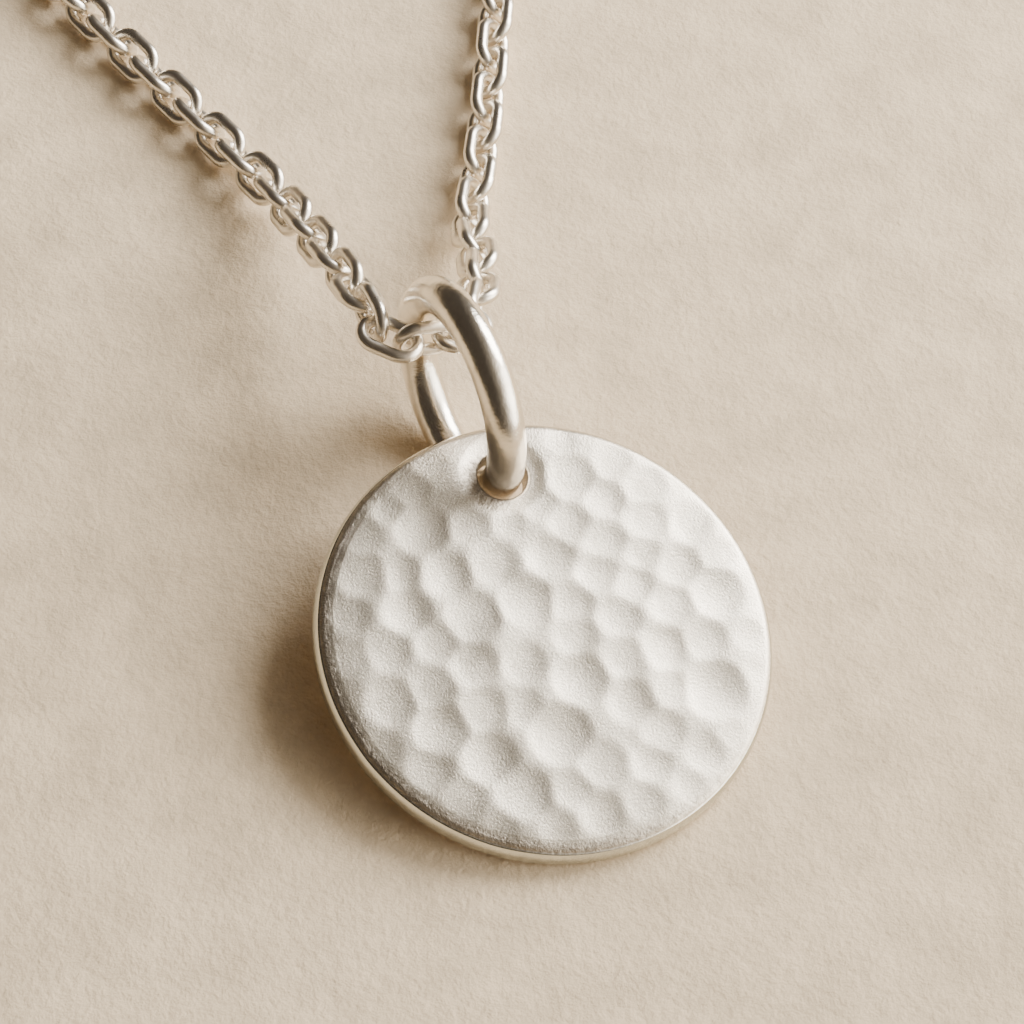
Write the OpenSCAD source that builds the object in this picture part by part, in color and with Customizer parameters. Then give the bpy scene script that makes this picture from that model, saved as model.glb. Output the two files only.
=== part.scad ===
/* [Disc] */
// Diameter of the hammered disc
disc_d = 15.2; // [13:0.2:18]
// Thickness of the disc
disc_t = 1.1; // [0.8:0.1:1.4]
// Radius of the worn edge between the hammered face and the rim
face_edge_r = 0.3; // [0.1:0.05:0.4]
// Radius of the edge round the back
back_edge_r = 0.25; // [0.1:0.05:0.35]
// Depth of a hammer dent of usual width at its middle; wider dents are deeper
dent_depth = 0.06; // [0.03:0.01:0.12]
// How far the ring under the disc tips it up, in degrees
disc_tilt = 11; // [8:0.5:14]

/* [Hole] */
// How much wider the hole is than the jump ring's wire
hole_play = 0.38; // [0.36:0.02:0.8]
// Metal left between the hole and the rim of the disc
hole_edge = 1.1; // [0.7:0.02:1.4]
// Width of the polished lip that is countersunk round the hole
lip_w = 0.14; // [0.06:0.02:0.24]
// Width of the shallow dimple round the hole
dimple_w = 0.62; // [0.3:0.02:0.8]
// Depth of the shallow dimple at its middle
dimple_depth = 0.2; // [0.04:0.02:0.24]

/* [Jump ring] */
// Diameter of the jump ring from middle to middle of its wire
ring_d = 6.66; // [6.2:0.02:7.4]
// Diameter of the jump ring's wire
ring_wire = 1.3; // [1:0.05:1.4]
// Direction in which the standing ring points away from the disc, in degrees
ring_turn = 100; // [97:0.5:103]

/* [Chain] */
// Length of one chain link over its wire
link_l = 2.4; // [2.36:0.01:2.5]
// Width of one chain link over its wire
link_w = 1.64; // [1.62:0.01:1.8]
// Diameter of the chain's wire
link_wire = 0.45; // [0.36:0.01:0.46]
// How far each link of the slack left strand is pushed into the next
slack_left = 0.23; // [0.17:0.01:0.25]
// How far each link of the straighter right strand is pushed into the next
slack_right = 0.16; // [0.13:0.01:0.22]
// Links made one by one on each strand, counted out from the jump ring
strand_links = 90; // [40:2:100]

/* [Clasp] */
// Diameter of the clasp's ring from middle to middle of its wire
clasp_d = 5; // [4:0.1:6.5]
// Diameter of the clasp's small eye from middle to middle of its wire
clasp_eye_d = 2; // [1.8:0.05:2.4]
// Diameter of the clasp's wire
clasp_wire = 0.5; // [0.4:0.02:0.5]

/* [Hidden] */
round_fn = 96;
wire_fn = 32;
over = 1;

disc_r = disc_d / 2;
ring_r = ring_d / 2;
hole_d = ring_wire + hole_play;
hole_offset = disc_r - hole_edge - hole_d / 2;
// Lifts the tilted disc until its low back edge rests on the surface
disc_lift = (disc_r - back_edge_r) * sin(disc_tilt) + back_edge_r * (1 - cos(disc_tilt));
// Direction of the disc's high side, which lies on the ring
high_turn = ring_turn - 1;

// Hammer dents on the face: place across and up from the middle, and half width, as shares of disc_r
dents = [
    [-0.68, 0.58, 0.10], [-0.42, 0.75, 0.10], [-0.30, 0.85, 0.08], [-0.53, 0.68, 0.09], [-0.72, 0.40, 0.12],
    [-0.82, 0.24, 0.10], [-0.42, 0.56, 0.13], [-0.56, 0.38, 0.10], [-0.58, 0.20, 0.12], [-0.37, 0.33, 0.12],
    [-0.21, 0.53, 0.10], [-0.86, 0.04, 0.09], [-0.70, 0.05, 0.11], [-0.49, 0.04, 0.11], [-0.31, 0.12, 0.13],
    [-0.15, 0.34, 0.12], [-0.04, 0.52, 0.08], [-0.06, 0.15, 0.13], [0.12, 0.58, 0.09], [0.29, 0.68, 0.12],
    [0.30, 0.86, 0.08], [0.50, 0.72, 0.10], [0.41, 0.55, 0.10], [0.61, 0.58, 0.11], [0.22, 0.46, 0.11],
    [0.57, 0.42, 0.11], [0.35, 0.36, 0.11], [0.76, 0.37, 0.11], [0.51, 0.27, 0.09], [0.10, 0.33, 0.12],
    [0.28, 0.22, 0.11], [0.84, 0.20, 0.09], [0.42, 0.13, 0.10], [0.65, 0.18, 0.11], [0.13, 0.10, 0.11],
    [0.78, 0.03, 0.13], [0.56, 0.01, 0.11], [0.32, 0.00, 0.11], [-0.75, -0.18, 0.12], [-0.56, -0.15, 0.11],
    [-0.36, -0.09, 0.12], [-0.83, -0.36, 0.09], [-0.57, -0.34, 0.13], [-0.15, -0.12, 0.11], [-0.37, -0.29, 0.12],
    [-0.20, -0.32, 0.10], [-0.66, -0.50, 0.11], [-0.40, -0.50, 0.13], [-0.55, -0.65, 0.10], [-0.30, -0.68, 0.13],
    [-0.43, -0.79, 0.08], [-0.20, -0.85, 0.09], [-0.08, -0.46, 0.15], [0.06, -0.62, 0.12], [-0.09, -0.70, 0.10],
    [0.00, -0.83, 0.11], [0.10, -0.04, 0.11], [0.07, -0.24, 0.13], [0.29, -0.18, 0.11], [0.47, -0.17, 0.12],
    [0.66, -0.17, 0.11], [0.26, -0.38, 0.12], [0.86, -0.18, 0.08], [0.45, -0.36, 0.10], [0.64, -0.40, 0.15],
    [0.83, -0.34, 0.06], [0.36, -0.53, 0.11], [0.27, -0.66, 0.10], [0.51, -0.66, 0.10], [0.19, -0.82, 0.10],
    [0.40, -0.79, 0.08], [0.65, -0.60, 0.07]
];
ACROSS = 0;
UP = 1;
HALF_W = 2;
usual_half_w = 0.11;

// The middle of the hole, halfway through the tilted disc, measured from under the disc's middle
hole_aside = hole_offset * sin(high_turn - 90);
hole_ahead = hole_offset * cos(high_turn - 90);
hole_out = hole_ahead * cos(disc_tilt) - disc_t / 2 * sin(disc_tilt);
hole_z = disc_lift + hole_ahead * sin(disc_tilt) + disc_t / 2 * cos(disc_tilt);
hole_x = hole_out * cos(high_turn) + hole_aside * sin(high_turn);
hole_y = hole_out * sin(high_turn) - hole_aside * cos(high_turn);

// The ring stands on the surface and passes through the middle of the hole
ring_z = ring_r + ring_wire / 2;
ring_out = sqrt(pow(ring_r, 2) - pow(ring_z - hole_z, 2));
ring_x = hole_x + ring_out * cos(ring_turn);
ring_y = hole_y + ring_out * sin(ring_turn);
// Where the middle of the ring's wire is furthest from the disc, which is where the chain holds it
far_wire = [ring_x + ring_r * cos(ring_turn), ring_y + ring_r * sin(ring_turn), 0];

// Route of the chain, measured from far_wire: from the clasp, through the jump ring and back
chain_route = [
    [-7, 165.4, 0.8], [-17, 162, 0.7], [-29, 154.3, 0.7], [-38, 143.3, 0.7],
    [-43, 130.3, 0.7], [-44, 116.8, 0.7], [-41, 104.3, 0.7], [-34, 87.3, 0.7], [-26.4, 68.3, 0.7],
    [-19.4, 49.8, 0.7], [-12.4, 31.3, 0.7], [-7.3, 19.3, 0.7], [-5.7, 15.8, 0.7], [-4.1, 12.4, 0.7],
    [-3.3, 10.4, 0.9], [-2.63, 8.35, 1.34], [-2.41, 6.82, 1.99], [-2.13, 4.58, 2.97], [-1.89, 2.4, 3.85],
    [-1.69, 0.19, 4.65], [-1.43, -1.15, 4.74], [-0.11, -1.43, 4.66], [1.3, -1.18, 4.49], [2.08, 0.12, 4.12],
    [2.82, 1.85, 3.13], [3.38, 3.66, 2.22], [3.83, 5.62, 1.28], [4.54, 7.28, 0.89], [5.5, 9.5, 0.7],
    [6.5, 12, 0.7], [8.5, 17.2, 0.7], [14.1, 31.3, 0.7], [21.6, 49.8, 0.7], [28.6, 68.3, 0.7],
    [36, 87.3, 0.7], [43, 104.3, 0.7], [46, 116.8, 0.7], [45, 130.3, 0.7], [40, 143.3, 0.7],
    [31, 154.3, 0.7], [19, 162, 0.7], [9, 165.4, 0.8]
];
crossing = 21;
route_steps = 8;
// Middle of the clasp, measured from far_wire, and half the distance between the two wires that the chain holds
clasp_mid = [1, 165.8, 0.9];
clasp_half = (clasp_d + clasp_eye_d) / 2;

// Moves the whole part until the middle of its box is over the origin
mid_x = far_wire[0] + clasp_mid[0];
mid_y = (far_wire[1] + clasp_mid[1] + (clasp_d + clasp_wire) / 2 - disc_r) / 2;

pitch_left = link_l - 2 * link_wire - slack_left;
pitch_right = link_l - 2 * link_wire - slack_right;
link_r = (link_w - link_wire) / 2;
link_straight = link_l - link_w;
link_gap = 0.1;
// From the middle of a last link to the middle of the clasp's wire that it holds
clasp_hold = link_l / 2 - link_wire - clasp_wire / 2 - link_gap;
tube_d = 1.4;
tube_sides = 12;
tube_step = 4;

function smooth(p, i, t) =
    let (p0 = p[max(i - 1, 0)], p1 = p[i], p2 = p[i + 1], p3 = p[min(i + 2, len(p) - 1)])
    (2 * p1 + (p2 - p0) * t + (2 * p0 - 5 * p1 + 4 * p2 - p3) * t * t + (3 * p1 - p0 - 3 * p2 + p3) * t * t * t) / 2;
route = concat([clasp_mid - [clasp_half, 0, 0]], chain_route, [clasp_mid + [clasp_half, 0, 0]]);
path = [for (i = [0 : len(route) - 2], k = [0 : route_steps - 1]) far_wire + smooth(route, i, k / route_steps),
        far_wire + route[len(route) - 1]];
reach = [for (i = 0, s = 0; i < len(path); s = s + (i + 1 < len(path) ? norm(path[i + 1] - path[i]) : 0), i = i + 1) s];
route_l = reach[len(reach) - 1];
crossing_s = reach[(crossing + 1) * route_steps];
by_reach = [for (axis = [0 : 2]) [for (i = [0 : len(path) - 1]) [reach[i], path[i][axis]]]];
function place(s) = [for (axis = [0 : 2]) lookup(s, by_reach[axis])];
function heading(s) = let (h = place(s + link_l / 4) - place(s - link_l / 4)) h / norm(h);

// Links lean to either side of the chain in turn, and stand or lie flat where it holds a ring
function lean(number, from_ring) = (number % 2 == 0 ? 45 : -45) + 45 * exp(-pow(from_ring / 4, 2));
function strand_s(number) = crossing_s + number * (number < 0 ? pitch_left : pitch_right);
function clasp_s(side, number) =
    let (s = clasp_hold + number * pitch_right)
    side < 0 ? s : route_l - s;

function tube_ring(s) =
    let (h = heading(s), aside = [-h[1], h[0], 0] / norm([h[0], h[1]]), up = cross(h, aside))
    [for (k = [0 : tube_sides - 1])
        place(s) + tube_d / 2 * (cos(k * 360 / tube_sides) * aside + sin(k * 360 / tube_sides) * up)];

module in_place() {
    translate([-mid_x, -mid_y, 0]) children();
}

module dent(x, y, half_w, depth) {
    r = (half_w * half_w + depth * depth) / (2 * depth);
    translate([x, y, disc_t + r - depth])
        intersection() {
            sphere(r = r, $fn = round_fn);
            translate([0, 0, -r - over]) cylinder(r = half_w * 1.1, h = over + 2 * depth, $fn = round_fn);
        }
}

module blank() {
    rotate_extrude($fn = round_fn) {
        square([disc_r - face_edge_r, disc_t]);
        translate([0, back_edge_r]) square([disc_r, disc_t - face_edge_r - back_edge_r]);
        square([disc_r - back_edge_r, disc_t / 2]);
        intersection() {
            translate([disc_r - face_edge_r, disc_t - face_edge_r]) circle(r = face_edge_r, $fn = wire_fn);
            translate([disc_r - face_edge_r, disc_t - face_edge_r]) square(face_edge_r);
        }
        intersection() {
            translate([disc_r - back_edge_r, back_edge_r]) circle(r = back_edge_r, $fn = wire_fn);
            translate([disc_r - back_edge_r, 0]) square(back_edge_r);
        }
    }
}

module hole() {
    lip_z = disc_t - dimple_depth / 2 - lip_w;
    translate([0, hole_offset, 0]) {
        translate([0, 0, -over]) cylinder(d = hole_d, h = disc_t + 2 * over, $fn = round_fn);
        translate([0, 0, lip_z])
            cylinder(r1 = hole_d / 2, r2 = hole_d / 2 + lip_w + over, h = lip_w + over, $fn = round_fn);
        dent(0, 0, hole_d / 2 + dimple_w, dimple_depth);
    }
}

module disc() {
    color("gainsboro")
    in_place()
    translate([0, 0, disc_lift]) rotate([0, 0, high_turn]) rotate([0, -disc_tilt, 0]) rotate([0, 0, -high_turn])
    difference() {
        blank();
        for (d = dents) dent(d[ACROSS] * disc_r, d[UP] * disc_r, d[HALF_W] * disc_r,
            dent_depth * pow(d[HALF_W] / usual_half_w, 2));
        hole();
    }
}

module ring(d, wire) {
    rotate_extrude($fn = round_fn) translate([d / 2, 0]) circle(d = wire, $fn = wire_fn);
}

module jump_ring() {
    color("silver")
    in_place() translate([ring_x, ring_y, ring_z]) rotate([90, 0, ring_turn]) ring(ring_d, ring_wire);
}

module link() {
    for (side = [0, 180]) rotate([0, 0, side]) {
        translate([link_straight / 2, 0, 0]) rotate([0, 0, -90])
            rotate_extrude(angle = 180, $fn = round_fn) translate([link_r, 0]) circle(d = link_wire, $fn = wire_fn);
        translate([-link_straight / 2, link_r, 0]) rotate([0, 90, 0])
            cylinder(d = link_wire, h = link_straight, $fn = wire_fn);
    }
}

module link_at(s, roll) {
    h = heading(s);
    in_place() translate(place(s)) rotate([0, -asin(h[2]), atan2(h[1], h[0])]) rotate([roll, 0, 0]) link();
}

// Every other link of both strands, and of the short ends at the clasp, from the given one on
module links(first) {
    for (number = [first - strand_links : 2 : strand_links]) link_at(strand_s(number), lean(number, abs(number)));
    for (side = [-1, 1]) link_at(clasp_s(side, first), lean(first, first));
}

module chain_links() {
    color("silver") links(0);
}

module chain_cross_links() {
    color("silver") links(1);
}

module tube(from, to) {
    last = ceil((to - from) / tube_step);
    points = [for (i = [0 : last]) each tube_ring(from + (to - from) * i / last)];
    sides = [for (i = [0 : last - 1], k = [0 : tube_sides - 1])
        let (a = i * tube_sides + k, b = i * tube_sides + (k + 1) % tube_sides)
        each [[a, b, a + tube_sides], [b, b + tube_sides, a + tube_sides]]];
    start = [for (k = [tube_sides - 1 : -1 : 0]) k];
    end = [for (k = [0 : tube_sides - 1]) last * tube_sides + k];
    polyhedron(points = points, faces = concat([start, end], sides));
}

module chain_back() {
    end_l = link_l / 2 + link_gap;
    color("silver")
    in_place() {
        tube(clasp_s(-1, 1) + end_l, strand_s(-strand_links) - end_l);
        tube(strand_s(strand_links) + end_l, clasp_s(1, 1) - end_l);
    }
}

module clasp() {
    color("silver")
    in_place() translate(far_wire + clasp_mid - [clasp_eye_d / 2, 0, 0]) {
        ring(clasp_d, clasp_wire);
        translate([clasp_half, 0, 0]) ring(clasp_eye_d, clasp_wire);
    }
}

disc();
jump_ring();
chain_links();
chain_cross_links();
chain_back();
clasp();
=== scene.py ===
import math

import bpy
import numpy as np
from mathutils import Matrix, Vector
from mathutils.bvhtree import BVHTree


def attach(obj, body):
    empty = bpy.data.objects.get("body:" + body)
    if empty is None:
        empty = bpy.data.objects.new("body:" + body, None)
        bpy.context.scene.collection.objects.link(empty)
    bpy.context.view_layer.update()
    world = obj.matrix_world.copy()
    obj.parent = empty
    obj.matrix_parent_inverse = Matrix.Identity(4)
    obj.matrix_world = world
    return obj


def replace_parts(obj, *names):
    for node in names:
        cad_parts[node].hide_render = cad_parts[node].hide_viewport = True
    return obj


bl_info = {
    "name": "Hammered Disc Pendant",
    "version": (1, 0, 0),
    "blender": (4, 5, 0),
    "location": "View3D > Sidebar > Pendant",
    "description": "Dresses a hammered silver disc pendant, its jump ring and its cable chain",
    "category": "Add Mesh",
}

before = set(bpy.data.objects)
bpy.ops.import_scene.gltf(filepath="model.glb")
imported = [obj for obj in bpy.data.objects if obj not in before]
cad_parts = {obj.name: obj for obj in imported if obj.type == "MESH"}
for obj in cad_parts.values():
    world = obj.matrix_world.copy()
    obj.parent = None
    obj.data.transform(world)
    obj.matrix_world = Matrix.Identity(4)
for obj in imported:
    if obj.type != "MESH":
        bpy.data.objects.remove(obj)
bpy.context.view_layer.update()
MM = 0.001
BODY = "root"


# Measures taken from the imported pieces

# How near to the disc's back a point lies on it, as a share of the thickness, and how far out, as a
# share of the radius, such a point is on the rim and not round the hole
BACK_SHARE = 0.01
RIM_SHARE = 0.93


def corners(node):
    """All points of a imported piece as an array."""
    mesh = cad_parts[node].data
    points = np.empty(len(mesh.vertices) * 3)
    mesh.vertices.foreach_get("co", points)
    return points.reshape(-1, 3)


class DiscShape:
    """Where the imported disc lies, how large it is and where its hole is."""

    def __init__(self):
        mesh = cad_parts["disc"].data
        below = [p for p in mesh.polygons if p.normal.z < 0]
        flat = max(below, key=lambda p: p.area)
        self.out = -flat.normal.normalized()
        aside = self.out.cross(Vector((1, 0, 0))).normalized()
        ahead = aside.cross(self.out)
        axes = np.array([aside, ahead, self.out])
        local = corners("disc") @ axes.T
        low, high = local.min(0), local.max(0)
        middle = (low + high) / 2
        self.radius = (high[0] - low[0]) / 2
        self.thick = high[2] - low[2]
        self.back = Vector(middle[0] * axes[0] + middle[1] * axes[1] + low[2] * axes[2])
        reach = np.hypot(local[:, 0] - middle[0], local[:, 1] - middle[1])
        on_back = local[:, 2] < low[2] + BACK_SHARE * self.thick
        rim = on_back & (reach > RIM_SHARE * self.radius)
        bore = local[on_back & ~rim]
        hole = (bore.min(0) + bore.max(0)) / 2
        self.back_edge = self.radius - reach[rim].max()
        self.hole_r = (bore[:, 0].max() - bore[:, 0].min()) / 2
        to_hole = Vector((hole[0] - middle[0]) * axes[0] + (hole[1] - middle[1]) * axes[1])
        self.hole_up = to_hole.length
        self.up = to_hole.normalized()
        self.across = self.up.cross(self.out)

    def place(self, x, y, z):
        """Points of the frame for places across, up and out of the disc."""
        axes = np.array([self.across, self.up, self.out])
        return np.array(self.back) + np.stack([x, y, z], -1) @ axes

    def middle(self):
        """The middle of the face."""
        return self.back + self.out * self.thick


class RingShape:
    """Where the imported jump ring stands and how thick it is."""

    def __init__(self):
        points = corners("jump_ring")
        low, high = points.min(0), points.max(0)
        self.middle = (low + high) / 2
        flat = points[:, :2] - self.middle[:2]
        directions = np.linalg.eigh(flat.T @ flat)[1]
        self.along = np.append(directions[:, 1], 0)
        self.axle = np.append(directions[:, 0], 0)
        self.wire_r = np.abs(flat @ directions[:, 0]).max()
        self.radius = (high[2] - low[2]) / 2 - self.wire_r


DISC = DiscShape()
RING = RingShape()


# Settings that a user would change

class DiscSettings(bpy.types.PropertyGroup):
    tone: bpy.props.FloatVectorProperty(
        name="Silver", description="Colour of the satin silver face", subtype="COLOR",
        size=3, min=0, max=1, default=(0.84, 0.77, 0.662))
    ridge_soft: bpy.props.FloatProperty(
        name="Ridge softness", description="How far the ridges between the dents are rounded",
        subtype="DISTANCE", default=0.07 * MM)
    dent_share: bpy.props.FloatProperty(
        name="Dents", description="Depth of the dents as a share of the packed ones",
        min=0, max=1, default=0.95)
    waves: bpy.props.FloatProperty(
        name="Waves", description="Height of the uneven waves that the hammer left under the dents",
        subtype="DISTANCE", default=0.02 * MM)
    dome: bpy.props.FloatProperty(
        name="Dome", description="How far the face falls from its middle to the rim",
        subtype="DISTANCE", default=0.13 * MM)
    pillow: bpy.props.FloatProperty(
        name="Pillow", description="How far the face falls over its last part before the rim",
        subtype="DISTANCE", default=0.12 * MM)
    edge_w: bpy.props.FloatProperty(
        name="Edge width", description="How far in from the rim the worn edge begins",
        subtype="DISTANCE", default=0.36 * MM)
    edge_h: bpy.props.FloatProperty(
        name="Edge height", description="How far down the side the worn edge reaches",
        subtype="DISTANCE", default=0.85 * MM)
    lip_r: bpy.props.FloatProperty(
        name="Lip", description="Radius of the lip round the hole",
        subtype="DISTANCE", default=0.1 * MM)
    satin: bpy.props.FloatProperty(
        name="Satin", description="Roughness of the face", min=0, max=1, default=0.33)


class RingSettings(bpy.types.PropertyGroup):
    tone: bpy.props.FloatVectorProperty(
        name="Silver", description="Colour of the polished silver", subtype="COLOR",
        size=3, min=0, max=1, default=(0.90, 0.84, 0.745))
    polish: bpy.props.FloatProperty(
        name="Polish", description="Roughness of the polished wire", min=0, max=1, default=0.2)


class ChainSettings(bpy.types.PropertyGroup):
    tone: bpy.props.FloatVectorProperty(
        name="Silver", description="Colour of the chain", subtype="COLOR",
        size=3, min=0, max=1, default=(0.90, 0.845, 0.755))
    polish: bpy.props.FloatProperty(
        name="Polish", description="Roughness of the chain's wire", min=0, max=1, default=0.3)
    link_l: bpy.props.FloatProperty(
        name="Link length", description="Length of a link over its wire",
        subtype="DISTANCE", default=2.4 * MM)
    link_w: bpy.props.FloatProperty(
        name="Link width", description="Width of a link over its wire",
        subtype="DISTANCE", default=1.64 * MM)
    wire_d: bpy.props.FloatProperty(
        name="Wire", description="Diameter of the chain's wire",
        subtype="DISTANCE", default=0.45 * MM)
    pitch: bpy.props.FloatProperty(
        name="Pitch", description="Distance from link to link round the back",
        subtype="DISTANCE", default=1.3 * MM)
    end_gap: bpy.props.FloatProperty(
        name="End gap", description="Gap between the packed links and the single links beside them",
        subtype="DISTANCE", default=0.1 * MM)


class StageSettings(bpy.types.PropertyGroup):
    floor_tone: bpy.props.FloatVectorProperty(
        name="Floor", description="Colour of the pale floor", subtype="COLOR",
        size=3, min=0, max=1, default=(0.85, 0.69, 0.482))
    key_power: bpy.props.FloatProperty(
        name="Key light", description="Power of the soft key light", unit="POWER", default=1.04)
    lens: bpy.props.FloatProperty(
        name="Lens", description="Focal length in millimetres", default=110.0)


# Node helpers

def clear_nodes(tree):
    """The nodes and links of a tree that is emptied first."""
    tree.nodes.clear()
    return tree.nodes, tree.links


def add(nodes, kind, **properties):
    """A node with its properties set."""
    node = nodes.new(kind)
    for name, value in properties.items():
        setattr(node, name, value)
    return node


def put(node, name, value):
    """Sets a node's input by its name."""
    node.inputs[name].default_value = value


def new_group(name, ins, outs):
    """An empty shader node group with named sockets."""
    tree = bpy.data.node_groups.new(name, "ShaderNodeTree")
    for label, kind, value in ins:
        socket = tree.interface.new_socket(name=label, in_out="INPUT", socket_type=kind)
        socket.default_value = value
    for label, kind in outs:
        tree.interface.new_socket(name=label, in_out="OUTPUT", socket_type=kind)
    return tree, tree.nodes.new("NodeGroupInput"), tree.nodes.new("NodeGroupOutput")


def use_group(nodes, tree, values):
    """A node that uses a shared group, with some of its inputs set."""
    node = add(nodes, "ShaderNodeGroup", node_tree=tree)
    for name, value in values.items():
        put(node, name, value)
    return node


def noise_node(tree, source, scale, detail, roughness=0.55):
    """A noise texture over the given coordinates."""
    noise = add(tree.nodes, "ShaderNodeTexNoise")
    put(noise, "Scale", scale)
    put(noise, "Detail", detail)
    put(noise, "Roughness", roughness)
    tree.links.new(source, noise.inputs["Vector"])
    return noise


def map_range(tree, source, from_low, from_high, to_low, to_high):
    """A value moved from one range to another and kept inside it."""
    node = add(tree.nodes, "ShaderNodeMapRange")
    put(node, "From Min", from_low)
    put(node, "From Max", from_high)
    put(node, "To Min", to_low)
    put(node, "To Max", to_high)
    tree.links.new(source, node.inputs["Value"])
    return node.outputs["Result"]


def math_node(tree, operation, *values):
    """The result of a sum on sockets or numbers."""
    node = add(tree.nodes, "ShaderNodeMath", operation=operation)
    for socket, value in zip(node.inputs, values):
        if isinstance(value, (int, float)):
            socket.default_value = value
        else:
            tree.links.new(value, socket)
    return node.outputs["Value"]


# Places of the factor, the two colours and the result among the sockets of a mix node
MIX_FACTOR, MIX_FIRST, MIX_SECOND, MIX_RESULT = 0, 6, 7, 2


def mix_colour(tree, factor, a, b, blend="MIX"):
    """Two colours, sockets or fixed, mixed by a factor."""
    node = add(tree.nodes, "ShaderNodeMix", data_type="RGBA", blend_type=blend)
    for place, value in ((MIX_FACTOR, factor), (MIX_FIRST, a), (MIX_SECOND, b)):
        socket = node.inputs[place]
        if hasattr(value, "is_linked"):
            tree.links.new(value, socket)
        elif isinstance(value, (int, float)):
            socket.default_value = value
        else:
            socket.default_value = (*value, 1)
    return node.outputs[MIX_RESULT]


def grey(tree, value):
    """A grey of the given value."""
    node = add(tree.nodes, "ShaderNodeCombineColor")
    for socket in node.inputs:
        tree.links.new(value, socket)
    return node.outputs["Color"]


# Effects that several silver finishes share

# Colours towards which silver goes where it is tarnished, where it is worn dark and where shade is
# painted on, and on the disc's side
TARNISH_TONE = (0.42, 0.36, 0.29)
WEAR_AND_SHADE_TONE = (0.22, 0.18, 0.14)
SIDE_TONE = (0.62, 0.62, 0.56)
# How far it goes towards the last two at most
WEAR_AND_SHADE_SHARE = 0.72
SIDE_SHARE = 0.9
# How strong the cloudy tarnish is on the disc and on the wires
DISC_TARNISH = 0.10
WIRE_TARNISH = 0.35
# Strength and depth of the relief that bump alone draws
DISC_RELIEF = (0.9, 0.02 * MM)
RING_RELIEF = (0.4, 0.008 * MM)
CHAIN_RELIEF = (0.4, 0.004 * MM)
FLOOR_RELIEF = (0.6, 0.12 * MM)
# Height of worn places, of the wires' swells and of the floor's blotches against that of the grain
WORN_HEIGHT = 3.0
SWELL_HEIGHT = 4.0
BLOTCH_HEIGHT = 2.0
# Roughness of the disc's polished side and of the floor, what full wear adds, and how far the clouds
# change it on the disc and on the wires
SIDE_ROUGHNESS = 0.14
FLOOR_ROUGHNESS = 0.9
WORN_ROUGHNESS = 0.10
DISC_SHIFT = 0.06
WIRE_SHIFT = 0.08
FLOOR_GLOSS = 0.2
# Values of a noise from low to high, and what they become: tarnish, roughness change, spots of wear, the
# dark band of wear and painted shade, dark and light specks, and the floor's shade
TARNISH_RANGE = (0.42, 0.72, 0, 1)
SHIFT_RANGE = (0.3, 0.7, -0.5, 0.5)
SPOT_RANGE = (0.7, 1.3, -0.4, 0.4)
BAND_RANGE = (0.25, 0.95, 0, 1)
SPECK_RANGE = (0.3, 0.7, 0.8, 1.14)
BLOTCH_RANGE = (0.35, 0.65, 0, 1)
# Turns of the two directions in which the scratches run
SCRATCH_TURNS = (0.6, 2.1)
# Sizes of the disc's mottled wear and of the floor's blotches and tooth
MOTTLE_SIZE = 0.22 * MM
BLOTCH_SIZE = 2.6 * MM
TOOTH_SIZE = 0.34 * MM
# Shades of the floor's darker and lighter blotches, as shares of its tone
BLOTCH_SHADES = (0.86, 1.06)


def silver_wear_group():
    """Cloudy tarnish and fine grain, their sizes in mm: a tint, a roughness change and a height."""
    name = "silver wear"
    if name in bpy.data.node_groups:
        return bpy.data.node_groups[name]
    ins = [("Silver", "NodeSocketColor", (0.9, 0.87, 0.83, 1)), ("Tarnish", "NodeSocketFloat", 0.2),
           ("Cloud Size", "NodeSocketFloat", 1.0), ("Grain Size", "NodeSocketFloat", 0.05)]
    outs = [("Color", "NodeSocketColor"), ("Rough Shift", "NodeSocketFloat"),
            ("Height", "NodeSocketFloat")]
    tree, given, result = new_group(name, ins, outs)
    place = add(tree.nodes, "ShaderNodeTexCoord").outputs["Object"]
    cloud_scale = math_node(tree, "DIVIDE", 1 / MM, given.outputs["Cloud Size"])
    grain_scale = math_node(tree, "DIVIDE", 1 / MM, given.outputs["Grain Size"])
    clouds = noise_node(tree, place, 1, 4, 0.6)
    tree.links.new(cloud_scale, clouds.inputs["Scale"])
    grain = noise_node(tree, place, 1, 3, 0.7)
    tree.links.new(grain_scale, grain.inputs["Scale"])
    dull = map_range(tree, clouds.outputs["Fac"], *TARNISH_RANGE)
    amount = math_node(tree, "MULTIPLY", dull, given.outputs["Tarnish"])
    shade = mix_colour(tree, amount, given.outputs["Silver"], TARNISH_TONE)
    tree.links.new(shade, result.inputs["Color"])
    shift = map_range(tree, clouds.outputs["Fac"], *SHIFT_RANGE)
    tree.links.new(shift, result.inputs["Rough Shift"])
    tree.links.new(grain.outputs["Fac"], result.inputs["Height"])
    return tree


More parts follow.
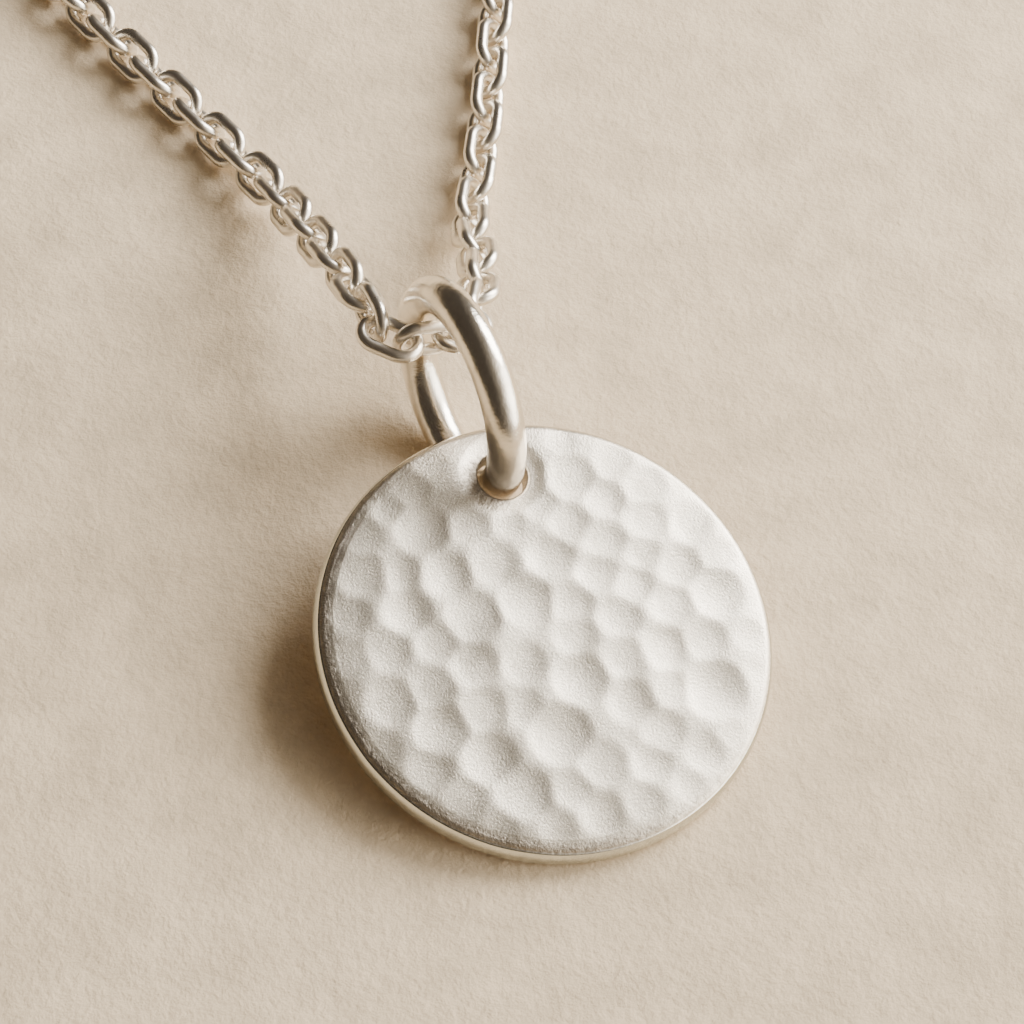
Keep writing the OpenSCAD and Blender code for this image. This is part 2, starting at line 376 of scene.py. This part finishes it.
def scratch_group():
    """Fine scratches in two directions, their width in mm, as a height."""
    name = "fine scratches"
    if name in bpy.data.node_groups:
        return bpy.data.node_groups[name]
    ins = [("Width", "NodeSocketFloat", 0.04), ("Stretch", "NodeSocketFloat", 14.0)]
    tree, given, result = new_group(name, ins, [("Height", "NodeSocketFloat")])
    place = add(tree.nodes, "ShaderNodeTexCoord").outputs["Object"]
    scale = math_node(tree, "DIVIDE", 1 / MM, given.outputs["Width"])
    squeezed = math_node(tree, "DIVIDE", scale, given.outputs["Stretch"])
    heights = []
    for turn in SCRATCH_TURNS:
        turned = add(tree.nodes, "ShaderNodeVectorRotate", rotation_type="EULER_XYZ")
        put(turned, "Rotation", (turn, 0.3 * turn, 1.7 * turn))
        tree.links.new(place, turned.inputs["Vector"])
        size = add(tree.nodes, "ShaderNodeCombineXYZ")
        tree.links.new(scale, size.inputs["X"])
        tree.links.new(scale, size.inputs["Y"])
        tree.links.new(squeezed, size.inputs["Z"])
        stretched = add(tree.nodes, "ShaderNodeVectorMath", operation="MULTIPLY")
        tree.links.new(turned.outputs["Vector"], stretched.inputs[0])
        tree.links.new(size.outputs["Vector"], stretched.inputs[1])
        lines = noise_node(tree, stretched.outputs["Vector"], 1, 2)
        heights.append(lines.outputs["Fac"])
    tree.links.new(math_node(tree, "ADD", *heights), result.inputs["Height"])
    return tree


def new_material(name):
    """A material with its nodes cleared, a metal shader and its output."""
    material = bpy.data.materials.new(name)
    material.use_nodes = True
    nodes, links = clear_nodes(material.node_tree)
    shader = add(nodes, "ShaderNodeBsdfPrincipled")
    output = add(nodes, "ShaderNodeOutputMaterial")
    links.new(shader.outputs["BSDF"], output.inputs["Surface"])
    return material, material.node_tree, shader


def bump(tree, shader, height, strength, distance):
    """Gives a shader a relief."""
    node = add(tree.nodes, "ShaderNodeBump")
    put(node, "Strength", strength)
    put(node, "Distance", distance)
    tree.links.new(height, node.inputs["Height"])
    tree.links.new(node.outputs["Normal"], shader.inputs["Normal"])


def clamp01(tree, value):
    """A value kept between 0 and 1."""
    node = add(tree.nodes, "ShaderNodeClamp")
    tree.links.new(value, node.inputs["Value"])
    return node.outputs["Result"]


def disc_material(settings):
    """Satin grained silver, darkened where the wear attribute says, which holds wear and painted shade,
    and polished where the polish attribute says.
    """
    material, tree, shader = new_material("hammered_silver")
    put(shader, "Metallic", 1.0)
    wear = use_group(tree.nodes, silver_wear_group(), {
        "Silver": (*settings.tone, 1), "Tarnish": DISC_TARNISH, "Cloud Size": 1.6, "Grain Size": 0.07})
    wear_and_shade = add(tree.nodes, "ShaderNodeAttribute", attribute_name="wear").outputs["Fac"]
    polished = add(tree.nodes, "ShaderNodeAttribute", attribute_name="polish").outputs["Fac"]
    place = add(tree.nodes, "ShaderNodeTexCoord").outputs["Object"]
    mottle = noise_node(tree, place, 1 / MOTTLE_SIZE, 4, 0.65).outputs["Fac"]
    spots = map_range(tree, math_node(tree, "ADD", mottle, wear.outputs["Height"]), *SPOT_RANGE)
    # Darkens towards one tone where the wear attribute says: real wear of the edge, and painted shade on
    # one side of it, in the hole and as the ring wire's shadow
    band = map_range(tree, math_node(tree, "ADD", wear_and_shade, spots), *BAND_RANGE)
    darkened = math_node(tree, "MULTIPLY", band, WEAR_AND_SHADE_SHARE)
    shade = mix_colour(tree, darkened, wear.outputs["Color"], WEAR_AND_SHADE_TONE)
    specks = map_range(tree, wear.outputs["Height"], *SPECK_RANGE)
    rough_only = math_node(tree, "SUBTRACT", 1.0, polished)
    shade = mix_colour(tree, math_node(tree, "MULTIPLY", polished, SIDE_SHARE), shade, SIDE_TONE)
    shade = mix_colour(tree, rough_only, shade, grey(tree, specks), "MULTIPLY")
    tree.links.new(shade, shader.inputs["Base Color"])
    satin = math_node(tree, "MULTIPLY_ADD", wear.outputs["Rough Shift"], DISC_SHIFT, settings.satin)
    smooth = math_node(tree, "MULTIPLY", polished, settings.satin - SIDE_ROUGHNESS)
    rough = math_node(tree, "SUBTRACT", satin, smooth)
    rough = math_node(tree, "ADD", rough, math_node(tree, "MULTIPLY", band, WORN_ROUGHNESS))
    tree.links.new(clamp01(tree, rough), shader.inputs["Roughness"])
    coarse = math_node(tree, "MULTIPLY", mottle, math_node(tree, "MULTIPLY", wear_and_shade, WORN_HEIGHT))
    fine = math_node(tree, "MULTIPLY", wear.outputs["Height"], rough_only)
    bump(tree, shader, math_node(tree, "ADD", coarse, fine), *DISC_RELIEF)
    return material


def wire_material(name, tone, polish, relief):
    """Polished silver wire with fine scratches and a little tarnish."""
    material, tree, shader = new_material(name)
    put(shader, "Metallic", 1.0)
    wear = use_group(tree.nodes, silver_wear_group(), {
        "Silver": (*tone, 1), "Tarnish": WIRE_TARNISH, "Cloud Size": 0.8, "Grain Size": 0.06})
    tree.links.new(wear.outputs["Color"], shader.inputs["Base Color"])
    rough = math_node(tree, "MULTIPLY_ADD", wear.outputs["Rough Shift"], WIRE_SHIFT, polish)
    tree.links.new(clamp01(tree, rough), shader.inputs["Roughness"])
    scratches = use_group(tree.nodes, scratch_group(), {})
    swells = math_node(tree, "MULTIPLY", wear.outputs["Rough Shift"], SWELL_HEIGHT)
    bump(tree, shader, math_node(tree, "ADD", scratches.outputs["Height"], swells), *relief)
    return material


def floor_material(tone):
    """Pale handmade paper with soft mottling and a low tooth."""
    material, tree, shader = new_material("pale_floor")
    put(shader, "Roughness", FLOOR_ROUGHNESS)
    put(shader, "Specular IOR Level", FLOOR_GLOSS)
    place = add(tree.nodes, "ShaderNodeTexCoord").outputs["Object"]
    blotches = noise_node(tree, place, 1 / BLOTCH_SIZE, 5, 0.6).outputs["Fac"]
    tooth = noise_node(tree, place, 1 / TOOTH_SIZE, 6, 0.66).outputs["Fac"]
    darker, lighter = (tuple(min(1, share * c) for c in tone) for share in BLOTCH_SHADES)
    shade = mix_colour(tree, map_range(tree, blotches, *BLOTCH_RANGE), darker, lighter)
    tree.links.new(shade, shader.inputs["Base Color"])
    height = math_node(tree, "ADD", math_node(tree, "MULTIPLY", blotches, BLOTCH_HEIGHT), tooth)
    bump(tree, shader, height, *FLOOR_RELIEF)
    return material


# Mesh helpers

def new_piece(name, points, faces, material, slot=None):
    """A smooth mesh piece, which rides on the body when a slot name is given."""
    mesh = bpy.data.meshes.new(name)
    mesh.from_pydata([tuple(p) for p in points], [], faces)
    mesh.materials.append(material)
    mesh.polygons.foreach_set("use_smooth", [True] * len(mesh.polygons))
    mesh.update()
    piece = bpy.data.objects.new(name, mesh)
    bpy.context.scene.collection.objects.link(piece)
    if slot:
        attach(piece, BODY)
    return piece


def loop_faces(rows, columns, first=0):
    """Quads between rows of points, where both the rows and the columns close on themselves."""
    faces = []
    for r in range(rows):
        s = (r + 1) % rows
        for c in range(columns):
            d = (c + 1) % columns
            faces.append((first + r * columns + c, first + r * columns + d,
                          first + s * columns + d, first + s * columns + c))
    return faces


def set_mask(piece, name, values):
    """Gives each point of a piece a value that its material reads."""
    mask = piece.data.attributes.new(name, "FLOAT", "POINT")
    mask.data.foreach_set("value", values)


def dress_node(node, material):
    """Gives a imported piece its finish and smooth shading."""
    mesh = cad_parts[node].data
    mesh.materials.clear()
    mesh.materials.append(material)
    mesh.polygons.foreach_set("use_smooth", [True] * len(mesh.polygons))
    mesh.update()


# The disc

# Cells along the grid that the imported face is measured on, and how much of the disc and how near to
# the hole it is measured, as shares of their radii
FACE_CELLS = 380
FACE_SHARE = 0.97
HOLE_SHARE = 1.2
# Points round the disc, and rows of them on the lip, the face, the worn edge, the back's rounded edge
# and the back
TURN_STEPS = 560
LIP_ROWS = 9
FACE_ROWS = 108
EDGE_ROWS = 28
BACK_EDGE_ROWS = 7
BACK_ROWS = 10
# Heights of the rows on the hole's wall, as shares of its height
WALL_SHARES = (0.0, 0.3, 0.6, 0.85)
# Share of a cell and its neighbours that has to be measured for its height to count
LEAST_MEASURED = 0.001
# Seed and width of the waves
WAVE_SEED = 7
WAVE_REACH = 0.45 * MM
# Width over which the face falls before the rim
PILLOW_W = 1.3 * MM
# Share of the way along its end directions at which the worn edge's curve is pulled
EDGE_PULL = 0.55
# Degrees round the worn edge at which its polished side begins, and over which it does so
POLISH_FROM = 30
POLISH_FADE = 10
EDGE_TURN = 90
# Direction across the disc, counted from its right, in which painted shade makes the worn edge darkest
SHADED_SIDE = math.radians(208)
# Wear round the edge, the painted shade that direction adds to it, and how far they reach over the face
# in mm
WORN_ROUND = 0.5
SIDE_SHADE = 0.7
WORN_REACH = 0.22
# Direction from the hole, counted the same way, in which the painted shadow of the ring's wire round it
# is darkest, its strength there, and how far it reaches over the face in mm
WIRE_SHADOW_SIDE = math.radians(190)
WIRE_SHADOW_STRENGTH = 1.3
DIMPLE_REACH = 0.75
# Painted shade on the hole's wall, and on its lip where the lip meets the wall, given as values of the
# wear mask
WALL_SHADE = 1.3
LIP_SHADE = 1.2


def blurred(grid, reach):
    """The grid smoothed by a bell of a reach in cells."""
    cells = np.arange(-math.ceil(3 * reach), math.ceil(3 * reach) + 1)
    bell = np.exp(-0.5 * (cells / reach) ** 2)
    for axis in (0, 1):
        grid = np.apply_along_axis(np.convolve, axis, grid, bell, "same")
    return grid


def face_heights(settings):
    """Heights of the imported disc's face on a square grid, its ridges rounded and uneven waves added."""
    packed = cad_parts["disc"].data
    solid = BVHTree.FromPolygons([v.co for v in packed.vertices], [p.vertices for p in packed.polygons])
    line = np.linspace(-DISC.radius, DISC.radius, FACE_CELLS)
    x, y = np.meshgrid(line, line)
    starts = DISC.place(x, y, np.full_like(x, 2 * DISC.thick)).reshape(-1, 3)
    heights = np.zeros(len(starts))
    inside = np.zeros(len(starts))
    from_hole = np.hypot(x, y - DISC.hole_up).ravel()
    out = np.hypot(x, y).ravel()
    on_face = (out < FACE_SHARE * DISC.radius) & (from_hole > HOLE_SHARE * DISC.hole_r)
    for i in np.flatnonzero(on_face):
        distance = solid.ray_cast(Vector(starts[i]), -DISC.out)[3]
        heights[i] = 2 * DISC.thick - distance
        inside[i] = 1
    cell = line[1] - line[0]
    reach = settings.ridge_soft / cell
    weighted = blurred((heights * inside).reshape(x.shape), reach)
    inside = blurred(inside.reshape(x.shape), reach)
    measured = weighted / np.maximum(inside, LEAST_MEASURED)
    filled = np.where(inside > LEAST_MEASURED, measured, DISC.thick)
    filled = DISC.thick + settings.dent_share * (filled - DISC.thick)
    waves = blurred(np.random.default_rng(WAVE_SEED).standard_normal(x.shape), WAVE_REACH / cell)
    return line, filled + settings.waves * (waves - waves.max()) / waves.std() / 2


def height_at(line, heights, x, y):
    """Height of the face between the cells of its grid, whose last cell has one beyond it to read."""
    cell = line[1] - line[0]
    last = len(line) - 1.001
    i = np.clip((x - line[0]) / cell, 0, last)
    j = np.clip((y - line[0]) / cell, 0, last)
    i0, j0 = i.astype(int), j.astype(int)
    u, v = i - i0, j - j0
    low = heights[j0, i0] * (1 - u) + heights[j0, i0 + 1] * u
    high = heights[j0 + 1, i0] * (1 - u) + heights[j0 + 1, i0 + 1] * u
    return low * (1 - v) + high * v


def bowed(settings, line, heights):
    """The face's heights with its dome and the soft fall before the rim."""
    x, y = np.meshgrid(line, line)
    out = np.minimum(np.hypot(x, y), DISC.radius)
    over = np.clip(1 - (DISC.radius - out) / PILLOW_W, 0, 1)
    return heights - settings.dome * (out / DISC.radius) ** 2 - settings.pillow * over ** 2


def edge_curve(start_r, start_z, slope, end_r, end_z, share):
    """A place on the curve that leaves the face at its slope and meets the side upright."""
    pull = EDGE_PULL * (end_r - start_r)
    radii = (start_r, start_r + pull, end_r, end_r)
    heights = (start_z, start_z - slope * pull, end_z + EDGE_PULL * (start_z - end_z), end_z)
    rest = 1 - share
    weights = (rest ** 3, 3 * rest ** 2 * share, 3 * rest * share ** 2, share ** 3)
    return tuple(sum(w * v for w, v in zip(weights, values)) for values in (radii, heights))


class DiscRows:
    """Rows of points round the disc, with how dark each point is from wear and painted shade, and how
    polished it is.
    """

    def __init__(self, settings):
        self.settings = settings
        turn = np.linspace(0, 2 * math.pi, TURN_STEPS, endpoint=False)
        self.cos, self.sin = np.cos(turn), np.sin(turn)
        # Wear round the worn edge, with painted shade added towards one side of it
        self.wear_and_shade = np.clip(WORN_ROUND + SIDE_SHADE * np.cos(turn - SHADED_SIDE), 0, 1)
        # Painted shadow of the ring's wire round the hole, strongest on one side
        self.wire_shadow = WIRE_SHADOW_STRENGTH * np.clip(np.cos(turn - WIRE_SHADOW_SIDE), 0, 1)
        self.line, heights = face_heights(settings)
        self.heights = bowed(settings, self.line, heights)
        self.face_r = DISC.radius - settings.edge_w
        self.lip_r = DISC.hole_r + settings.lip_r
        self.rows = []

    def height(self, x, y):
        return height_at(self.line, self.heights, x, y)

    def hole_ring(self, r):
        return r * self.cos, DISC.hole_up + r * self.sin

    def row(self, x, y, z, wear=0.0, polish=0.0):
        values = (x, y, z, wear, polish)
        self.rows.append([np.broadcast_to(value, self.cos.shape) for value in values])

    def hole(self):
        """The hole's wall from the back up, painted dark as shade, and the rounded lip, painted darker
        towards the wall.
        """
        lip = self.settings.lip_r
        lip_z = self.height(*self.hole_ring(self.lip_r))
        for share in WALL_SHARES:
            self.row(*self.hole_ring(DISC.hole_r), share * (lip_z - lip), wear=WALL_SHADE)
        for step in range(LIP_ROWS):
            share = step / LIP_ROWS
            bend = math.pi / 2 * step / LIP_ROWS
            x, y = self.hole_ring(DISC.hole_r + lip * (1 - math.cos(bend)))
            # The lip is painted darker towards the wall as shade in the hole, and takes the painted
            # shadow of the ring's wire
            wear = LIP_SHADE * (1 - share) + self.wire_shadow
            self.row(x, y, lip_z - lip * (1 - math.sin(bend)), wear=wear)

    def face(self):
        """The hammered face from the lip out to the worn edge."""
        lip_x, lip_y = self.hole_ring(self.lip_r)
        for step in range(FACE_ROWS):
            share = step / FACE_ROWS
            x = (1 - share) * lip_x + share * self.face_r * self.cos
            y = (1 - share) * lip_y + share * self.face_r * self.sin
            to_edge = (self.face_r - np.hypot(x, y)) / MM
            from_lip = (np.hypot(x, y - DISC.hole_up) - DISC.hole_r - self.settings.lip_r) / MM
            # Wear of the worn edge with its painted shade, and the painted shadow of the ring's wire
            # round the hole
            wear = (self.wear_and_shade * np.clip(1 - to_edge / WORN_REACH, 0, 1)
                    + self.wire_shadow * np.clip(1 - from_lip / DIMPLE_REACH, 0, 1))
            self.row(x, y, self.height(x, y), wear=wear)

    def edge(self):
        """The worn edge from the face to the side, polished in its lower part."""
        dome, pillow, edge_w = self.settings.dome, self.settings.pillow, self.settings.edge_w
        face_z = self.height(self.face_r * self.cos, self.face_r * self.sin)
        side_z = DISC.thick - self.settings.edge_h
        slope = 2 * dome / DISC.radius + 2 * pillow / PILLOW_W * (1 - edge_w / PILLOW_W)
        for step in range(EDGE_ROWS):
            share = step / EDGE_ROWS
            r, z = edge_curve(self.face_r, face_z, slope, DISC.radius, side_z, share)
            polished = min(max((EDGE_TURN * share - POLISH_FROM) / POLISH_FADE, 0), 1)
            # The edge's wear and its painted shade fade out where the edge is polished
            self.row(r * self.cos, r * self.sin, z, wear=self.wear_and_shade * (1 - polished), polish=polished)

    def back(self):
        """The side's lower part, the back's rounded edge and the flat back, in to the hole."""
        edge_r = DISC.back_edge
        for step in range(BACK_EDGE_ROWS):
            bend = math.pi / 2 * step / BACK_EDGE_ROWS
            r = DISC.radius - edge_r * (1 - math.cos(bend))
            z = edge_r * (1 - math.sin(bend))
            self.row(r * self.cos, r * self.sin, z, polish=1 - step / BACK_EDGE_ROWS)
        hole_x, hole_y = self.hole_ring(DISC.hole_r)
        for step in range(BACK_ROWS):
            share = step / BACK_ROWS
            x = (1 - share) * (DISC.radius - edge_r) * self.cos + share * hole_x
            y = (1 - share) * (DISC.radius - edge_r) * self.sin + share * hole_y
            self.row(x, y, 0.0)


def make_disc(settings):
    """The disc, from the hole's wall over the face, the edge and the back to the wall again."""
    disc = DiscRows(settings)
    disc.hole()
    disc.face()
    disc.edge()
    disc.back()
    x, y, z, wear, polish = (np.concatenate(values) for values in zip(*disc.rows))
    points, faces = DISC.place(x, y, z), loop_faces(len(disc.rows), TURN_STEPS)
    piece = new_piece("hammered_disc", points, faces, disc_material(settings), "hammered_silver")
    set_mask(piece, "wear", wear)
    set_mask(piece, "polish", polish)
    return piece


# The jump ring

RING_STEPS = 192
WIRE_STEPS = 48


def make_ring(material):
    """The thick closed ring, finely rounded."""
    points = []
    for turn in np.linspace(0, 2 * math.pi, RING_STEPS, endpoint=False):
        outward = math.cos(turn) * RING.along + math.sin(turn) * np.array([0, 0, 1])
        for bend in np.linspace(0, 2 * math.pi, WIRE_STEPS, endpoint=False):
            away = math.cos(bend) * outward + math.sin(bend) * RING.axle
            points.append(RING.middle + RING.radius * outward + RING.wire_r * away)
    faces = loop_faces(RING_STEPS, WIRE_STEPS)
    return new_piece("polished_jump_ring", points, faces, material, "polished_silver")


# The chain round the back

LINK_WIRE_SIDES = 12
LINK_BEND_STEPS = 8
# How far the links lean from lying flat, to one side and the other in turn, and over how many links
# from the clasp that lay is turned further
LEAN = math.radians(45)
LEAN_REACH = 4
# Points that lie this near together are one ring of a packed tube's corners
TUBE_RING_W = 2 * MM
# Digits to which the places of such corners are told apart, and the curve's steps from ring to ring
PLACE_DIGITS = 7
CURVE_STEPS = 12


def link_outline(settings):
    """Middle line of a link's wire and the outward direction at each point, in the link's own plane."""
    bend_r = (settings.link_w - settings.wire_d) / 2
    straight = settings.link_l - settings.link_w
    line = []
    for side in (1, -1):
        for step in range(LINK_BEND_STEPS + 1):
            turn = math.pi * (step / LINK_BEND_STEPS - 0.5)
            outward = np.array([side * math.cos(turn), side * math.sin(turn), 0])
            line.append((np.array([side * straight / 2, 0, 0]) + bend_r * outward, outward))
    return line


def link_points(settings, outline, middle, ahead, lean):
    """Points of one link at a place on the chain, turned about the chain's direction."""
    aside = np.array([-ahead[1], ahead[0], 0])
    aside /= np.linalg.norm(aside)
    up = np.cross(ahead, aside)
    across = math.cos(lean) * aside + math.sin(lean) * up
    normal = np.cross(ahead, across)
    wire_r = settings.wire_d / 2
    points = []
    for place, outward in outline:
        centre = middle + place[0] * ahead + place[1] * across
        away = outward[0] * ahead + outward[1] * across
        for bend in np.linspace(0, 2 * math.pi, LINK_WIRE_SIDES, endpoint=False):
            points.append(centre + wire_r * (math.cos(bend) * away + math.sin(bend) * normal))
    return points


def tube_lines():
    """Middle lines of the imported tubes, from the middles of their rings of corners."""
    points = corners("chain_back")
    centres = []
    left = list(range(len(points)))
    while left:
        near = [i for i in left if np.linalg.norm(points[i] - points[left[0]]) < TUBE_RING_W]
        centres.append(np.unique(np.round(points[near], PLACE_DIGITS), axis=0).mean(0))
        left = sorted(set(left) - set(near))
    lines = []
    for sign in (-1, 1):
        side = [c for c in centres if c[0] * sign > 0]
        order = [min(side, key=lambda c: c[1])]
        while len(order) < len(side):
            rest = [c for c in side if not any(c is o for o in order)]
            order.append(min(rest, key=lambda c: np.linalg.norm(c - order[-1])))
        lines.append(np.array(order))
    return lines


def smooth_line(points):
    """A denser curve through the points."""
    line = []
    for i in range(len(points) - 1):
        before, start = points[max(i - 1, 0)], points[i]
        end, after = points[i + 1], points[min(i + 2, len(points) - 1)]
        for t in np.linspace(0, 1, CURVE_STEPS, endpoint=False):
            square = 2 * before - 5 * start + 4 * end - after
            cube = 3 * start - before - 3 * end + after
            line.append((2 * start + (end - before) * t + square * t ** 2 + cube * t ** 3) / 2)
    return np.array(line + [points[-1]])


def make_chain_back(settings, material):
    """Single links from each strand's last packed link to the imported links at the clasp."""
    outline = link_outline(settings)
    beyond = settings.link_l / 2 + settings.end_gap
    points, faces = [], []
    for tube in tube_lines():
        line = smooth_line(tube)
        start = line[0] - (line[1] - line[0]) / np.linalg.norm(line[1] - line[0]) * beyond
        end = line[-1] + (line[-1] - line[-2]) / np.linalg.norm(line[-1] - line[-2]) * beyond
        line = np.vstack([start, line, end])
        flip = -1 if tube[0][0] < 0 else 1
        reach = np.append(0, np.cumsum(np.linalg.norm(np.diff(line, axis=0), axis=1)))
        count = 2 * round((reach[-1] / settings.pitch - 1) / 2)

        def at(s):
            return np.array([np.interp(s, reach, line[:, axis]) for axis in range(3)])

        for number in range(1, count + 1):
            s = reach[-1] * number / (count + 1)
            ahead = at(s + settings.link_l / 4) - at(s - settings.link_l / 4)
            ahead /= np.linalg.norm(ahead)
            from_clasp = count + 2 - number
            side = 1 if from_clasp % 2 == 0 else -1
            lean = side * LEAN + LEAN * math.exp(-(from_clasp / LEAN_REACH) ** 2)
            faces += loop_faces(len(outline), LINK_WIRE_SIDES, len(points))
            points += link_points(settings, outline, at(s), flip * ahead, lean)
    return new_piece("chain_round_back", points, faces, material, "chain_silver")


# The stage

FLOOR_SIDE = 3.0
FLOOR_BELOW = 0.02 * MM
# The camera's place from the floor under the disc, and its directions, by the photo's fit
CAMERA_FROM_DISC = Vector((-25.68, -48.72, 87.21)) * MM
CAMERA_RIGHT = Vector((0.9507, -0.2909, 0.1076))
CAMERA_UP = Vector((0.1832, 0.8065, 0.5622))
SENSOR_WIDTH = 36.0
CLIP_START = 5 * MM
# The key light's place from the middle of the disc's face, its width and its tint
KEY_DIRECTION = Vector((0.748, 0.365, 0.554))
KEY_DISTANCE = 0.22
KEY_SIDE = 0.156
KEY_TINT = (1.0, 0.96, 0.9)
# Where the room is brightest, and its colours from half way (0.5) to there (1)
ROOM_DIRECTION = Vector((0.88, -0.32, 0.25))
ROOM_SHADES = ((0.5, (0.008, 0.0065, 0.005)), (0.75, (0.034, 0.029, 0.023)),
               (0.89, (0.14, 0.124, 0.103)), (0.95, (0.55, 0.51, 0.45)), (1.0, (1.0, 0.94, 0.83)))
ROOM_STRENGTH = 8.5


def make_floor(tone):
    """The wide pale floor, a hair below the part."""
    side = FLOOR_SIDE / 2
    points = [(x * side, y * side, -FLOOR_BELOW) for x, y in ((-1, -1), (1, -1), (1, 1), (-1, 1))]
    floor = new_piece("pale_floor", points, [(0, 1, 2, 3)], floor_material(tone))


def make_camera(lens):
    """The camera at the photo's angle."""
    camera = bpy.data.cameras.new("photo_view")
    camera.lens = lens
    camera.sensor_width = SENSOR_WIDTH
    camera.clip_start = CLIP_START
    holder = bpy.data.objects.new("photo_view", camera)
    bpy.context.scene.collection.objects.link(holder)
    foot = Vector((DISC.back.x, DISC.back.y, 0))
    turned = Matrix((CAMERA_RIGHT, CAMERA_UP, CAMERA_RIGHT.cross(CAMERA_UP))).transposed().to_4x4()
    holder.matrix_world = Matrix.Translation(foot + CAMERA_FROM_DISC) @ turned
    bpy.context.scene.camera = holder


def make_key_light(power):
    """The soft round key light, turned to the disc."""
    light = bpy.data.lights.new("key_light", "AREA")
    light.shape = "DISK"
    light.size = KEY_SIDE
    light.energy = power
    light.color = KEY_TINT
    holder = bpy.data.objects.new("key_light", light)
    bpy.context.scene.collection.objects.link(holder)
    direction = KEY_DIRECTION.normalized()
    holder.location = DISC.middle() + direction * KEY_DISTANCE
    holder.rotation_euler = direction.to_track_quat("Z", "Y").to_euler()


def make_room():
    """A soft warm room, bright low on the right and dark to the left and behind the camera."""
    world = bpy.data.worlds.new("soft_room")
    bpy.context.scene.world = world
    world.use_nodes = True
    nodes, links = clear_nodes(world.node_tree)
    place = add(nodes, "ShaderNodeTexCoord").outputs["Generated"]
    toward = add(nodes, "ShaderNodeVectorMath", operation="DOT_PRODUCT")
    toward.inputs[1].default_value = ROOM_DIRECTION.normalized()
    links.new(place, toward.inputs[0])
    ramp = add(nodes, "ShaderNodeValToRGB")
    stops = ramp.color_ramp.elements
    stops.remove(stops[1])
    for number, (position, colour) in enumerate(ROOM_SHADES):
        stop = stops.new(position) if number else stops[0]
        stop.position = position
        stop.color = (*colour, 1)
    half = map_range(world.node_tree, toward.outputs["Value"], -1, 1, 0, 1)
    links.new(half, ramp.inputs["Fac"])
    background = add(nodes, "ShaderNodeBackground")
    put(background, "Strength", ROOM_STRENGTH)
    links.new(ramp.outputs["Color"], background.inputs["Color"])
    output = add(nodes, "ShaderNodeOutputWorld")
    links.new(background.outputs["Background"], output.inputs["Surface"])


# Operators and panel

class PENDANT_OT_disc(bpy.types.Operator):
    """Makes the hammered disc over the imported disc"""
    bl_idname = "pendant.disc"
    bl_label = "Hammered disc"

    def execute(self, context):
        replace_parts(make_disc(context.scene.pendant_disc), "disc")
        return {"FINISHED"}


class PENDANT_OT_ring(bpy.types.Operator):
    """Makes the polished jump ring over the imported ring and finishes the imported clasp"""
    bl_idname = "pendant.ring"
    bl_label = "Jump ring"

    def execute(self, context):
        settings = context.scene.pendant_ring
        material = wire_material("polished_silver", settings.tone, settings.polish, RING_RELIEF)
        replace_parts(make_ring(material), "jump_ring")
        dress_node("clasp", material)
        return {"FINISHED"}


class PENDANT_OT_chain(bpy.types.Operator):
    """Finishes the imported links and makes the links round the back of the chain"""
    bl_idname = "pendant.chain"
    bl_label = "Cable chain"

    def execute(self, context):
        settings = context.scene.pendant_chain
        material = wire_material("chain_silver", settings.tone, settings.polish, CHAIN_RELIEF)
        dress_node("chain_links", material)
        dress_node("chain_cross_links", material)
        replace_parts(make_chain_back(settings, material), "chain_back")
        return {"FINISHED"}


class PENDANT_OT_stage(bpy.types.Operator):
    """Makes the pale floor, the room, the soft key light and the camera"""
    bl_idname = "pendant.stage"
    bl_label = "Stage"

    def execute(self, context):
        settings = context.scene.pendant_stage
        make_floor(settings.floor_tone)
        make_room()
        make_key_light(settings.key_power)
        make_camera(settings.lens)
        return {"FINISHED"}


class PENDANT_PT_panel(bpy.types.Panel):
    bl_idname = "PENDANT_PT_panel"
    bl_label = "Disc Pendant"
    bl_space_type = "VIEW_3D"
    bl_region_type = "UI"
    bl_category = "Pendant"

    def draw(self, context):
        for operator, settings in STEPS:
            box = self.layout.box()
            box.operator(operator)
            group = getattr(context.scene, settings)
            for name in group.__annotations__:
                box.prop(group, name)


STEPS = [("pendant.stage", "pendant_stage"), ("pendant.disc", "pendant_disc"),
         ("pendant.ring", "pendant_ring"), ("pendant.chain", "pendant_chain")]
GROUPS = {"pendant_disc": DiscSettings, "pendant_ring": RingSettings,
          "pendant_chain": ChainSettings, "pendant_stage": StageSettings}
CLASSES = [DiscSettings, RingSettings, ChainSettings, StageSettings, PENDANT_OT_disc, PENDANT_OT_ring,
           PENDANT_OT_chain, PENDANT_OT_stage, PENDANT_PT_panel]


def register():
    for cls in CLASSES:
        bpy.utils.register_class(cls)
    for name, group in GROUPS.items():
        setattr(bpy.types.Scene, name, bpy.props.PointerProperty(type=group))


def unregister():
    for name in GROUPS:
        delattr(bpy.types.Scene, name)
    for cls in reversed(CLASSES):
        bpy.utils.unregister_class(cls)


def main():
    register()
    bpy.ops.pendant.stage()
    bpy.ops.pendant.disc()
    bpy.ops.pendant.ring()
    bpy.ops.pendant.chain()


if __name__ == "__main__":
    main()
